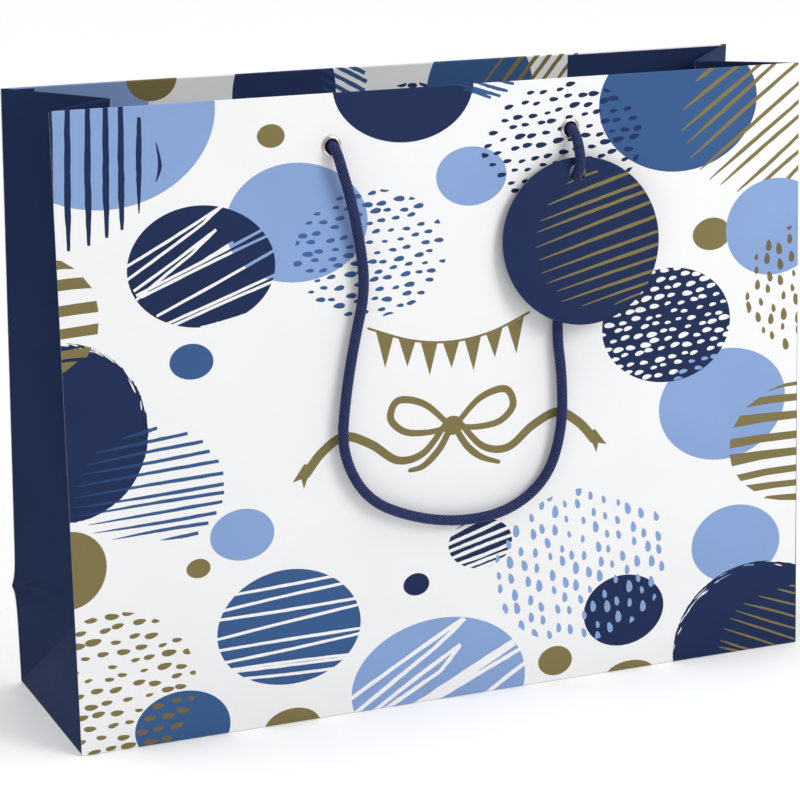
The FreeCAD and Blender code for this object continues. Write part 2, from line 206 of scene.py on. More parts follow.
FRONT_ROUTE = [
    (-56.2, 5, 265.2), (-54.8, 6.3, 257.6), (-50.2, 5.4, 243), (-45.6, 4.3, 222),
    (-43.4, 4, 199.5), (-49.8, 4, 175.5), (-54.8, 4, 150), (-57.4, 4, 125.5),
    (-46, 4, 102.5), (-23.5, 4, 91.2), (2, 4, 86), (27, 4, 88.3),
    (46.8, 4, 101.8), (54.6, 4, 125), (54.9, 3.9, 149.5), (52.4, 3.4, 172),
    (55.2, 3.2, 194.5), (59.6, 3, 214.5), (61.8, 2.95, 231.5), (62.8, 2.9, 242),
    (63.4, 9.2, 249), (62.9, 8.2, 257.2), (62.5, 5, 265.2),
]
BACK_ROUTE = [
    (-62.5, 5, 264.8), (-63.6, 6.3, 257.4), (-66.4, 5.2, 243), (-68.6, 4.2, 221.5),
    (-67.2, 4, 197), (-62, 4, 172.5), (-59.2, 4, 147.5), (-54, 4, 122.5),
    (-38.5, 4, 102), (-15, 4, 91.6), (10.5, 4, 90.2), (34.5, 4, 97.6),
    (52, 4, 115.4), (58.6, 4, 139.5), (59.6, 4, 164.5), (56.4, 4, 189),
    (51.6, 4, 212.5), (50.4, 4.6, 233.5), (53, 6, 250), (55.2, 6.3, 257.9),
    (56.2, 5, 264.8),
]


def on_wall(side, x, inwards, up):
    return WALL[side] @ Vector((x, inwards, up))


# ---- camera

camera_data = bpy.data.cameras.new("camera")
camera_data.sensor_width = 36.0
camera_data.lens = 121.69
camera_data.clip_end = 50.0
camera = bpy.data.objects.new("camera", camera_data)
camera.location = (-0.4995, -1.1392, 0.4721)
camera.rotation_euler = (radians(90 - 15.253), 0, radians(-23.312))
scene.collection.objects.link(camera)
scene.camera = camera
scene.view_settings.view_transform = "Standard"


# ---- node helpers


def linear(r, g, b):
    """A colour given as 0 to 255 display values, as linear values."""
    return [c / 12.92 if c <= 0.04045 else ((c + 0.055) / 1.055) ** 2.4
            for c in (r / 255, g / 255, b / 255)]


def shader(name, roughness=0.5, specular=0.5, metallic=0.0):
    """A new material, its node tree and its Principled node."""
    material = bpy.data.materials.new(name)
    material.use_nodes = True
    tree = material.node_tree
    tree.nodes.clear()
    main = tree.nodes.new("ShaderNodeBsdfPrincipled")
    out = tree.nodes.new("ShaderNodeOutputMaterial")
    tree.links.new(main.outputs["BSDF"], out.inputs["Surface"])
    for label, value in (("Roughness", roughness), ("Specular IOR Level", specular),
                         ("Metallic", metallic)):
        main.inputs[label].default_value = value
    return material, tree, main


def node(tree, kind, links=(), **values):
    """Adds a node, sets its properties or input values, and links its inputs."""
    made = tree.nodes.new(kind)
    for key, value in values.items():
        if hasattr(made, key):
            setattr(made, key, value)
        else:
            made.inputs[key].default_value = value
    for slot_name, source in links:
        tree.links.new(source, made.inputs[slot_name])
    return made


def noise_at(tree, scale, detail=2.0):
    """The factor of a noise in object coordinates, at a number of features per metre."""
    where = node(tree, "ShaderNodeTexCoord").outputs["Object"]
    return node(tree, "ShaderNodeTexNoise", [("Vector", where)], Scale=scale,
                Detail=detail).outputs["Fac"]


def ramp(tree, source, low, high, a, b):
    """A colour or value ramp from a to b between two positions of source."""
    made = node(tree, "ShaderNodeValToRGB", [("Fac", source)])
    for stop, position, shade in zip(made.color_ramp.elements, (low, high), (a, b)):
        stop.position = position
        stop.color = (*shade, 1) if hasattr(shade, "__len__") else (shade, shade, shade, 1)
    return made.outputs["Color"]


def bump(tree, main, sources):
    """Chains bumps, each a (height output, strength, distance in metres), into the shader."""
    last = None
    for height, strength, distance in sources:
        made = node(tree, "ShaderNodeBump", [("Height", height)], Strength=strength,
                    Distance=distance)
        if last is not None:
            tree.links.new(last.outputs["Normal"], made.inputs["Normal"])
        last = made
    tree.links.new(last.outputs["Normal"], main.inputs["Normal"])


def multiplied(tree, colour, shade):
    """A colour darkened or lightened by a shade."""
    mixed = node(tree, "ShaderNodeMix", data_type="RGBA", blend_type="MULTIPLY", Factor=1.0)
    tree.links.new(colour, mixed.inputs[6])
    tree.links.new(shade, mixed.inputs[7])
    return mixed.outputs[2]


def paper_material(name, colour, roughness=0.55, specular=0.10, mottle=0.05, fibre=0.05):
    """Laminated printed paper: faint mottling of the ink, fine fibre and a soft gloss."""
    material, tree, main = shader(name, roughness, specular)
    light = [min(1.0, c * (1 + mottle)) for c in colour]
    dark = [c * (1 - mottle) for c in colour]
    cloud = noise_at(tree, 26.0, 4.0)
    tree.links.new(ramp(tree, cloud, 0.3, 0.7, dark, light), main.inputs["Base Color"])
    grain = noise_at(tree, 1400.0, 3.0)
    wave = noise_at(tree, 60.0, 2.0)
    rough = ramp(tree, grain, 0.25, 0.75, roughness - 0.06, roughness + 0.06)
    tree.links.new(rough, main.inputs["Roughness"])
    bump(tree, main, [(wave, 0.10, 0.0012), (grain, fibre, 0.0002)])
    return material


# Ink colours as display values on the lit front panel. deep, dusk, bronze and slate are where
# two inks overlap, and the hems' navy is a copy of navy painted lighter: painted light.
INKS = {
    "white": (249, 249, 250),
    "sky": (139, 168, 216),
    "blue": (58, 94, 144),
    "navy": (29, 46, 85),
    "gold": (131, 119, 75),
    "deep": (32, 54, 100),
    "dusk": (42, 70, 120),
    "bronze": (116, 104, 76),
    "slate": (66, 100, 162),
    "night": (37, 55, 97),
}
LIT = 0.845  # the paper's own colour as a share of what the lamps make of it
# Painted shade: the inks of the turned-in hems are darkened copies, by this share
HEM_PAINTED_SHADE = 0.93
MATERIALS = {}


def ink_material(ink, place):
    key = f"ink_{ink}_{place}"
    if key not in MATERIALS:
        # Hem inks are darker copies of the wall inks: painted shade.
        factor = LIT * (HEM_PAINTED_SHADE if place == "hem" else 1.0)
        colour = [c * factor for c in linear(*INKS[ink])]
        mottle = 0.012 if ink == "white" else 0.035
        MATERIALS[key] = paper_material(key, colour, mottle=mottle)
    return MATERIALS[key]


MATERIALS["paper_back"] = paper_material("paper_back", [0.80, 0.80, 0.78], 0.75, 0.15, 0.02, 0.25)
MATERIALS["paper_edge"] = paper_material("paper_edge", [0.74, 0.74, 0.72], 0.85, 0.1, 0.04, 0.4)


# ---- mesh helpers


def add_object(name, data):
    obj = bpy.data.objects.new(name, data)
    scene.collection.objects.link(obj)
    return obj


def to_mesh(name, points, faces, materials, face_slots=None, normals=None):
    """An object from millimetre points; normals, if given, are one per point."""
    mesh = bpy.data.meshes.new(name)
    mesh.from_pydata([Vector(p) * MM for p in points], [], faces)
    for material in materials:
        mesh.materials.append(material)
    if face_slots:
        mesh.polygons.foreach_set("material_index", face_slots)
    mesh.polygons.foreach_set("use_smooth", [True] * len(mesh.polygons))
    mesh.update()
    if normals:
        mesh.normals_split_custom_set_from_vertices(normals)
    return add_object(name, mesh)


def ring_faces(rows, around):
    """Quads between rings of points, each ring joined to the one after it."""
    return [(k * around + m, k * around + (m + 1) % around, (k + 1) * around + (m + 1) % around,
             (k + 1) * around + m) for k in range(rows) for m in range(around)]


def reworked(obj, change):
    """Lets change work on the object's mesh as a bmesh."""
    made = bmesh.new()
    made.from_mesh(obj.data)
    change(made)
    made.to_mesh(obj.data)
    made.free()


def bake_modifiers(obj):
    """Makes the object's modifiers part of its mesh."""
    graph = bpy.context.evaluated_depsgraph_get()
    obj.data = bpy.data.meshes.new_from_object(obj.evaluated_get(graph))
    obj.modifiers.clear()


def join(name, objects):
    """One object from several, which are then gone."""
    with bpy.context.temp_override(active_object=objects[0], object=objects[0],
                                   selected_objects=objects,
                                   selected_editable_objects=objects):
        bpy.ops.object.join()
    objects[0].name = name
    return objects[0]


# ---- braided rope

BRAID_TURNS, BRAID_PITCH, BRAID_DEPTH = 10, 18.0, 0.18


def braid(u, v):
    """Height, 0 to 1, and place across the strand of a plain braid at u round and v along."""
    a, b = BRAID_TURNS * (u + v / BRAID_PITCH), BRAID_TURNS * (u - v / BRAID_PITCH)
    i, j = math.floor(a), math.floor(b)
    across, along = (a - i, b - j) if (i + j) % 2 == 0 else (b - j, a - i)
    height = sin(pi * across) ** 0.6 * (0.55 + 0.45 * sin(pi * along))
    return height, across


def braid_tube(name, line, radius, start_ref=None, end_ref=None, v_start=0.0, around=60,
               blunt=0.0):
    """A braided cord swept along line, with a frame carried along it from one of its ends.

    start_ref or end_ref is the frame's direction there. Returns the object and the directions at
    its start and end. blunt rounds the last end off over that length.
    """
    count = len(line)
    tangents = [heading(line, k) for k in range(count)]
    order = range(count) if end_ref is None else range(count - 1, -1, -1)
    side = start_ref if end_ref is None else end_ref
    sides = [None] * count
    for k in order:
        side = (side - tangents[k] * side.dot(tangents[k])).normalized()
        sides[k] = side
    points, heights, crosses = [], [], []
    travelled = 0.0
    total = sum((line[k + 1] - line[k]).length for k in range(count - 1))
    for k in range(count):
        if k:
            travelled += (line[k] - line[k - 1]).length
        other = tangents[k].cross(sides[k])
        left = total - travelled
        close = math.sqrt(max(0.02, 1 - (1 - left / blunt) ** 2)) if left < blunt else 1.0
        for m in range(around):
            u = m / around
            height, across = braid(u, v_start + travelled)
            r = radius * close * (1 - BRAID_DEPTH * (1 - height))
            angle = 2 * pi * u
            points.append(line[k] + (sides[k] * cos(angle) + other * sin(angle)) * r)
            heights.append(height)
            crosses.append(across)
    faces = ring_faces(count - 1, around)
    faces.append(tuple(range(around - 1, -1, -1)))
    faces.append(tuple((count - 1) * around + m for m in range(around)))
    obj = to_mesh(name, points, faces, [ROPE_YARN])
    for label, values in (("braid_height", heights), ("braid_across", crosses)):
        obj.data.attributes.new(label, "FLOAT", "POINT").data.foreach_set("value", values)
    return obj, sides[0], sides[-1]


def rope_material():
    """Satin navy polyester yarn, with painted shade between its strands and a painted highlight where they crown."""
    material, tree, main = shader("rope_yarn", 0.55, 0.22)
    height = node(tree, "ShaderNodeAttribute", attribute_name="braid_height").outputs["Fac"]
    across = node(tree, "ShaderNodeAttribute", attribute_name="braid_across").outputs["Fac"]
    yarn = node(tree, "ShaderNodeMath", [(0, across)], operation="MULTIPLY")
    yarn.inputs[1].default_value = 26.0
    thread = node(tree, "ShaderNodeMath", [(0, yarn.outputs[0])], operation="SINE").outputs[0]
    # Painted shade in the braid's hollows and a painted highlight on its crowns, set by braid height.
    base = node(tree, "ShaderNodeValToRGB", [("Fac", height)])
    stops = base.color_ramp.elements
    stops[0].position, stops[0].color = 0.34, (*linear(7, 11, 28), 1)
    stops[1].position, stops[1].color = 0.97, (*linear(54, 68, 132), 1)
    middle = base.color_ramp.elements.new(0.66)
    middle.color = (*linear(27, 40, 86), 1)
    fleck = noise_at(tree, 500.0, 2.0)
    shade = ramp(tree, fleck, 0.3, 0.7, 0.85, 1.1)
    tree.links.new(multiplied(tree, base.outputs["Color"], shade), main.inputs["Base Color"])
    main.inputs["Sheen Weight"].default_value = 0.08
    main.inputs["Sheen Roughness"].default_value = 0.4
    main.inputs["Sheen Tint"].default_value = (0.55, 0.6, 1.0, 1)
    bump(tree, main, [(thread, 0.25, 0.00012), (fleck, 0.15, 0.0002)])
    return material


ROPE_YARN = rope_material()


def nurbs_line(name, points):
    """The points of a smooth line, in millimetres, read from a NURBS spline with no bevel."""
    curve = bpy.data.curves.new(name, "CURVE")
    curve.dimensions = "3D"
    spline = curve.splines.new("NURBS")
    spline.points.add(len(points) - 1)
    for point, place in zip(spline.points, points):
        point.co = (*(place * MM), 1)
    spline.order_u = 3
    spline.use_endpoint_u = True
    spline.resolution_u = 40
    obj = bpy.data.objects.new(name, curve)
    line = [v.co / MM for v in bpy.data.meshes.new_from_object(obj).vertices]
    bpy.data.objects.remove(obj)
    return line


def heading(line, k):
    """The direction of a line of points at its point k."""
    return (line[min(k + 1, len(line) - 1)] - line[max(k - 1, 0)]).normalized()


def even(line, step):
    """The same line with points one step apart, and its length."""
    lengths = [0.0]
    for a, b in zip(line, line[1:]):
        lengths.append(lengths[-1] + (b - a).length)
    count = max(2, round(lengths[-1] / step) + 1)
    out, k = [], 0
    for i in range(count):
        want = lengths[-1] * i / (count - 1)
        while k < len(line) - 2 and lengths[k + 1] < want:
            k += 1
        share = (want - lengths[k]) / max(1e-9, lengths[k + 1] - lengths[k])
        out.append(line[k].lerp(line[k + 1], min(1.0, share)))
    return out, lengths[-1]


def bezier(a, b, c, d, count):
    shares = [i / (count - 1) for i in range(count)]
    return [a * (1 - t) ** 3 + b * 3 * (1 - t) ** 2 * t + c * 3 * (1 - t) * t * t + d * t ** 3
            for t in shares]


ELBOW = 9.0  # length of the bend outside an eyelet, which flexes when the handle swings
KNOT_DEPTH, KNOT_SIZE, KNOT_SWAY = 6.1, 1.62, 1.75
KNOT_ROPE, TAIL_ROPE, TAIL_BLUNT = 2.15, 2.35, 1.6
STEP = {"front": 0.32, "back": 0.42}
AROUND = {"front": 60, "back": 48}


def knot_curve(side, x, up, turn):
    """A closed trefoil round the eyelet's axis, close behind its washer."""
    out = []
    for t in (2 * pi * i / 140 for i in range(141)):
        px, pz = KNOT_SIZE * (sin(t) + 2 * sin(2 * t)), KNOT_SIZE * (cos(t) - 2 * cos(2 * t))
        out.append(on_wall(side, x + px * cos(turn) - pz * sin(turn),
                           KNOT_DEPTH - KNOT_SWAY * sin(3 * t),
                           up + px * sin(turn) + pz * cos(turn)))
    return out


def rope_end(side, bag_side, joint, lead, outwards, frame_side, run):
    """The bend outside an eyelet, the shank through it, and the knot and cut tail inside.

    lead points from the loop's end, joint, back along the loop. run is the loop's length before
    this end, and is 0 at the end where the loop starts.
    """
    last = run > 0
    x = TURN[side] * EYELET_X[bag_side]
    up = LENGTH[side] - EYELET_DROP
    mouth = on_wall(side, x, 0.8, up)
    inner = on_wall(side, x, KNOT_DEPTH + 0.5, up)
    bend = bezier(joint, joint - lead * 4.2, mouth + outwards * 5.4, mouth, 60) + [inner]
    path, bend_length = even(bend, 0.33)
    if last:
        shank, _, _ = braid_tube("shank", path, ROPE, start_ref=frame_side,
                                 v_start=run, around=AROUND[side])
    else:
        shank, _, _ = braid_tube("shank", path[::-1], ROPE, end_ref=frame_side,
                                 v_start=-bend_length, around=AROUND[side])
    knot_line, _ = even(knot_curve(side, x, up, 1.2 if last else 0.6), 0.4)
    knot, _, _ = braid_tube("knot", knot_line, KNOT_ROPE, start_ref=outwards, around=36)
    lean = 1.5 if last else -1.0
    guides = [on_wall(side, x + dx, KNOT_DEPTH + deeper, up - down) for dx, deeper, down in (
        (-lean, 0, 2.5), (-lean, 2.5, 8.0), (lean, 4.5, 12.0), (lean, 5.2, 18.5))]
    across = (on_wall(side, 1, 0, 0) - on_wall(side, 0, 0, 0)).normalized()
    tail, _, _ = braid_tube("tail", even(bezier(*guides, 40), 0.35)[0], TAIL_ROPE,
                            start_ref=across, around=40, blunt=TAIL_BLUNT)
    whole = join(f"{side}_{bag_side}_rope_end", [shank, knot, tail])
    # The bend follows the wall at the eyelet's rim and the handle where the loop begins.
    rim = on_wall(side, x, -1.4, up)
    down = joint - rim
    slope = (outwards * 0.75 + down.normalized()).normalized()
    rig.blend(whole, f"{side}_wall", f"{side}_handle", rim * MM,
             (rim + slope * slope.dot(down)) * MM)
    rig.replaces(whole, f"{side}_{bag_side}_knot")
    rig.slot(whole, "navy_rope")
    return whole


def rope_handle(side, route):
    """One handle: its hanging loop and its two ends."""
    points = [on_wall(side, x, -out, up) for x, out, up in route]
    line, length = even(nurbs_line(f"{side}_route", points), STEP[side])
    skip = round(ELBOW / STEP[side])
    body = line[skip:-skip]
    outwards = (on_wall(side, 0, -1, 0) - on_wall(side, 0, 0, 0)).normalized()
    loop, first, last = braid_tube(f"{side}_rope_loop", body, ROPE, start_ref=outwards,
                                   around=AROUND[side])
    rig.ride(loop, f"{side}_handle")
    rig.replaces(loop, f"{side}_handle_rope")
    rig.slot(loop, "navy_rope")
    run = sum((b - a).length for a, b in zip(body, body[1:]))
    near, far = ("left", "right") if side == "front" else ("right", "left")
    ends = [rope_end(side, near, body[0], (body[1] - body[0]).normalized(), outwards, first, 0),
            rope_end(side, far, body[-1], (body[-2] - body[-1]).normalized(), outwards, last, run)]
    return loop, body, points, length, ends


front_rope = rope_handle("front", FRONT_ROUTE)
back_rope = rope_handle("back", BACK_ROUTE)

# ---- shapes of the print


def oval(cx, cy, rx, ry, count=80, wobble=0.012, rough=0.0, seed=1):
    """A slightly uneven oval; rough adds the broken edge of a dry brush."""
    rnd = random.Random(seed)
    phases = [rnd.uniform(0, 6.28) for _ in range(3)]
    out = []
    for i in range(count):
        a = 2 * pi * i / count
        r = 1 + wobble * (sin(2 * a + phases[0]) + 0.6 * sin(3 * a + phases[1]))
        if rough:
            r += rough * rnd.uniform(-1, 1) * (0.4 + 0.6 * abs(sin(1.5 * a + phases[2])))
        out.append((cx + rx * r * cos(a), cy + ry * r * sin(a)))
    return out


def smooth_line(points, per=6):
    """Points along a Catmull-Rom line through points."""
    ends = [points[0], *points, points[-1]]
    out = []
    for k in range(1, len(ends) - 2):
        p0, p1, p2, p3 = (Vector(ends[k + d]) for d in (-1, 0, 1, 2))
        for i in range(per):
            t = i / per
            out.append(0.5 * (2 * p1 + (p2 - p0) * t + (2 * p0 - 5 * p1 + 4 * p2 - p3) * t * t
                              + (3 * p1 - p0 - 3 * p2 + p3) * t ** 3))
    out.append(Vector(points[-1]))
    return out


def sideways(way):
    return Vector((-way.y, way.x))


def widths_along(widths, share):
    """The width at a share of the way along a stroke."""
    at = share * (len(widths) - 1)
    k = min(int(at), len(widths) - 2)
    return widths[k] + (widths[k + 1] - widths[k]) * (at - k)


JITTER = 0.12  # how uneven the edges of a brush stroke are, as a share of its width


def stroke(points, widths, seed=0, per=8):
    """The outline of one brush stroke; its width runs through widths from start to end."""
    rnd = random.Random(seed * 7 + 3)
    line = smooth_line(points, per)
    left, right = [], []
    for k, p in enumerate(line):
        side = sideways(heading(line, k))
        w = widths_along(widths, k / (len(line) - 1)) / 2
        left.append(tuple(p + side * w * (1 + JITTER * rnd.uniform(-1, 1))))
        right.append(tuple(p - side * w * (1 + JITTER * rnd.uniform(-1, 1))))
    return left + right[::-1]


def ribbon(points, widths):
    """A curling stroke as short overlapping pieces, so that it may cross itself."""
    line = smooth_line(points, 8)
    out = []
    for k in range(0, len(line) - 1, 5):
        piece = line[k:k + 6]
        span = [widths_along(widths, min(1, (k + i) / (len(line) - 1))) for i in range(len(piece))]
        aside = [sideways(heading(piece, i)) * span[i] / 2 for i in range(len(piece))]
        out.append([tuple(p + a) for p, a in zip(piece, aside)]
                   + [tuple(p - a) for p, a in zip(piece, aside)][::-1])
        out.append(oval(piece[0].x, piece[0].y, span[0] / 2, span[0] / 2, count=12, wobble=0))
    out.append(oval(line[-1].x, line[-1].y, widths[-1] / 2, widths[-1] / 2, count=12, wobble=0))
    return out


def clipped(poly, spot, normal):
    """The part of a polygon on the inner side of a line through spot."""
    out = []
    for a, b in zip(poly, poly[1:] + poly[:1]):
        da, db = (Vector(a) - spot).dot(normal), (Vector(b) - spot).dot(normal)
        if da <= 0:
            out.append(a)
        if da * db < 0:
            out.append(tuple(Vector(a).lerp(Vector(b), da / (da - db))))
    return out


def dabs(cx, cy, rx, ry, turn, gap, row, length, width, seed):
    """Small uneven dabs in staggered rows, cut off by an oval's edge."""
    rnd = random.Random(seed)
    t = radians(turn)
    reach = max(rx, ry) * 1.15
    out = []
    for j in range(int(2 * reach / row) + 1):
        for i in range(int(2 * reach / gap) + 1):
            p = -reach + (i + 0.5 * (j % 2)) * gap + rnd.uniform(-0.2, 0.2) * gap
            q = -reach + j * row + rnd.uniform(-0.2, 0.2) * row
            x = p * cos(t) - q * sin(t)
            y = p * sin(t) + q * cos(t)
            grow = 1.0 + 0.3 * noise.noise(Vector((x / 22, y / 18, seed))) + rnd.uniform(-0.3, 0.2)
            tilt = t + radians(rnd.uniform(-9, 9))
            if (x / rx) ** 2 + (y / ry) ** 2 > 1.12:
                continue
            dab = []
            for k in range(12):
                a = 2 * pi * k / 12
                dx = length / 2 * grow * cos(a)
                dy = width / 2 * grow * sin(a) * (1 + 0.25 * cos(a + seed))
                dab.append((x + dx * cos(tilt) - dy * sin(tilt),
                            y + dx * sin(tilt) + dy * cos(tilt)))
            far = max(1e-6, math.hypot(x / rx, y / ry))
            rim = Vector((x / far, y / far))
            dab = clipped(dab, rim, Vector((rim.x / rx ** 2, rim.y / ry ** 2)).normalized())
            if len(dab) > 2 and abs(area(dab)) > 0.3 * length * width:
                out.append([(cx + px, cy + py) for px, py in dab])
    return out


def area(poly):
    return 0.5 * sum(a[0] * b[1] - b[0] * a[1] for a, b in zip(poly, poly[1:] + poly[:1]))


TAPER = (0.25, 1.0, 0.9, 0.3)
BLUNT = (0.9, 1.0, 1.0, 0.9)


def lines(rows, width, seed=1, taper=TAPER):
    """Straight brushed lines, each from (x, y) to (x, y), with tapering ends."""
    out = []
    for k, (x0, y0, x1, y1) in enumerate(rows):
        middle = ((x0 + x1) / 2, (y0 + y1) / 2 + 0.4 * sin(k * 2.3 + seed))
        out.append(stroke([(x0, y0), middle, (x1, y1)], [width * w for w in taper], seed + k))
    return out


def fan(count, start, end, width, seed, taper):
    """Lines whose two ends step along two smooth curves of (x, y) points."""
    a, b = smooth_line(start, 12), smooth_line(end, 12)
    rows = []
    for k in range(count):
        share = k / (count - 1)
        p, q = a[round(share * (len(a) - 1))], b[round(share * (len(b) - 1))]
        rows.append((p.x, p.y, q.x, q.y))
    return lines(rows, width, seed, taper)


def slabs(far_x, rows):
    """Broad brushed bars: each a slanted end from low to high, running level to far_x."""
    out = []
    for low_x, low_y, high_x, high_y, far_y, thick in rows:
        halves = []
        for x, y, edge in ((low_x, low_y, far_y - thick / 2), (high_x, high_y, far_y + thick / 2)):
            mid = x + 0.4 * (far_x - x)
            halves.append([(x, y), (mid, 0.35 * y + 0.65 * edge + 0.35), (far_x, edge)])
        out.append(halves[0] + halves[1][::-1])
    return out


def worn_rim(cx, cy, rx, ry, start, end, count, seed):
    """Thin scratches along part of a disc's rim, where a dry brush left gaps."""
    rnd = random.Random(seed)
    out = []
    for _ in range(count):
        a = radians(rnd.uniform(start, end))
        span = radians(rnd.uniform(3, 11))
        r = 1 - abs(rnd.gauss(0, 0.022)) - 0.004
        drift = rnd.uniform(0.0, 0.02)
        arc = [(cx + rx * (r + drift * t) * cos(a + span * t),
                cy + ry * (r + drift * t) * sin(a + span * t)) for t in (0, 0.33, 0.66, 1)]
        out.append(stroke(arc, [0.1, rnd.uniform(0.3, 0.7), 0.5, 0.1], seed, per=3))
    return out


def festive_ornament():
    """A string of pennants over a tied bow with two wavy ribbon tails, all in gold."""
    out = ribbon([(-41, 181), (-20, 173.5), (0, 171), (20, 173.5), (40, 181)], [1.1, 1.1])
    for k in range(7):
        x = -33 + k * 11
        top = 171 + (x / 41) ** 2 * 10
        slope = x / 41 * 0.5
        drop = 15.5 if k % 2 == 0 else 12.5
        out.append([(x - 4.2, top - 4.2 * slope), (x + 0.3 * slope, top - drop),
                    (x + 4.2, top + 4.2 * slope)])
    bow_loop = [(2, 132), (14, 143), (27, 146), (31, 138), (24, 131), (12, 129.5), (2, 131)]
    for sign in (-1, 1):
        out += ribbon([(sign * x, y) for x, y in bow_loop], [2.6, 3.4, 3.6, 3, 2.4])
    out.append(oval(0, 131.5, 5.2, 4.6, seed=4))
    out += ribbon([(-2, 129), (-7, 121), (-15, 114), (-22, 112.5)], [3.2, 3.4, 2])
    out += ribbon([(2, 129), (7, 121), (14, 115), (23, 111.5)], [3.2, 3.4, 2])
    tail = [(4, 132), (15, 120), (28, 118), (41, 127), (54, 132), (65, 126), (73, 117)]
    fork = [(70, 120.5), (74.5, 110), (75.6, 114.6), (80, 113.5), (74, 121.5)]
    for sign in (-1, 1):
        out += ribbon([(sign * x, y) for x, y in tail], [2.8, 3.6, 4.2, 4.4, 4.6])
        out.append([(sign * x, y) for x, y in fork])
    return out


def wall_art(side):
    """The print in drawing order: (ink, shapes, shapes cut out of them, inks it turns into)."""
    top = LENGTH[side]
    art = []

    def put(ink, shapes, cuts=(), over=None):
        art.append((ink, shapes, list(cuts), over or {}))

    def disc(ink, cx, cy, rx, ry, seed, cuts=()):
        put(ink, [oval(cx, cy, rx, ry, seed=seed)], cuts)

    if side == "front":
        front_top_band(put, disc, top)
    else:
        back_top_band(put, disc, top)
    left_half(put, disc)
    right_half(put, disc)
    put("gold", festive_ornament())
    put("navy", [[(184.45, -4), (190, -4), (190, 168), (184.8, 166)]])
    if side == "back":
        art = [(ink, [[(-x, y) for x, y in p] for p in shapes],
                [[(-x, y) for x, y in p] for p in cuts], over) for ink, shapes, cuts, over in art]
    return art


def front_top_band(put, disc, top):
    """The marks under the front's top edge, which run on over it into the hem."""
    disc("sky", -160.8, 284.7, 50.8, 39.8, 2)
    strips = [(-184, -187, 229), (-176, -179.4, 228), (-167.1, -170.2, 229.6),
              (-159.1, -162, 232.4), (-152.4, -155, 235.3)]
    bars = [stroke([(x0, top + 16), ((x0 + x1) / 2 - 0.5, 262), (x1, low)], [1.6, 2.7, 3, 1.3],
                   seed=k) for k, (x0, x1, low) in enumerate(strips)]
    bars.append(stroke([(-145.1, 283.6), (-146.2, 262), (-147, 241.7)], [1.6, 2.6, 2.2, 0.4], 8))
    bars.append(stroke([(-137.9, 272.4), (-136.6, 262), (-138.7, 255)], [0.3, 1.9, 0.3], 9))
    put("navy", bars)
    disc("gold", -84.8, 271.4, 6.6, 5.2, 5)
    disc("navy", -20.2, 290.5, 34.9, 25.9, 6)
    put("blue", lines([
        (6.4, 288.8, 27.3, 282.1), (14, 289.8, 31, 284.2), (9, 286.4, 22.5, 281.6),
        (24, 290.5, 34.2, 287.3), (9, 298, 33, 296)], 1.7, 3, (0.5, 0.9, 1, 0.7)),
        over={"navy": "dusk"})
    disc("sky", 11.9, 246.7, 17.5, 13.7, 7)
    disc("blue", 119.8, 273.2, 41.6, 32.4, 8)
    put("navy", dabs(58.8, 258.6, 41.6, 28.2, 6, 7.4, 4.9, 5, 2.2, 22), over={"blue": "deep"})
    put("gold", lines([
        (129, 283, 142, 292), (122, 270, 160, 294), (121, 260, 168, 292), (124, 254, 180, 295),
        (126, 247, 188, 291), (131, 241, 188, 281), (136, 236, 188, 272), (142, 233, 188, 265),
        (151, 229, 188, 256), (158, 227, 188, 248), (173, 228, 188, 241)], 1.95, 24,
        (0.25, 1, 1, 0.8)))


def back_top_band(put, disc, top):
    """The marks under the back's top edge, and those on its hem inside the bag."""
    disc("sky", -163, top + 5, 46, 42, 2)
    disc("gold", -115.8, top, 12.3, 10.8, 5)
    disc("navy", -50.6, top + 12, 26.3, 34, 6)
    put("blue", lines([(-32, top - 16.6 + 4.3 * k, -9 - abs(k - 3), top - 4.6 + 4.3 * k)
                       for k in range(7)], 2.1, 3, (0.6, 0.9, 1, 0.9)), over={"navy": "dusk"})
    disc("sky", 6, 246, 17.5, 13.7, 7)
    put("navy", dabs(14, top + 21, 17, 11, 3, 6.8, 4.6, 4.8, 2.5, 31))
    disc("blue", 50.3, top + 18, 28.3, 35, 8)
    put("navy", dabs(105, 248, 42, 24, 6, 7.4, 4.9, 5, 2.2, 22), over={"blue": "deep"})
    slants = [(63, 1.2), (73.1, 2.4), (81.4, 2.2), (88.3, 2.2), (95, 2.2), (103, 2)]
    put("gold", [stroke([(x - 15, top + 18), (x - 4, top + 4.5), (x + 7.5, top - 9)],
                        [0.5 * w, 0.9 * w, w, 0.9 * w], seed=k) for k, (x, w) in enumerate(slants)])
    inside = top + 1.5
    put("navy", [[(-190, inside), (-170.5, inside), (-170.5, top + 60), (-190, top + 60)],
                 [(97.2, inside), (190, inside), (190, top + 60), (97.2, top + 60)]])


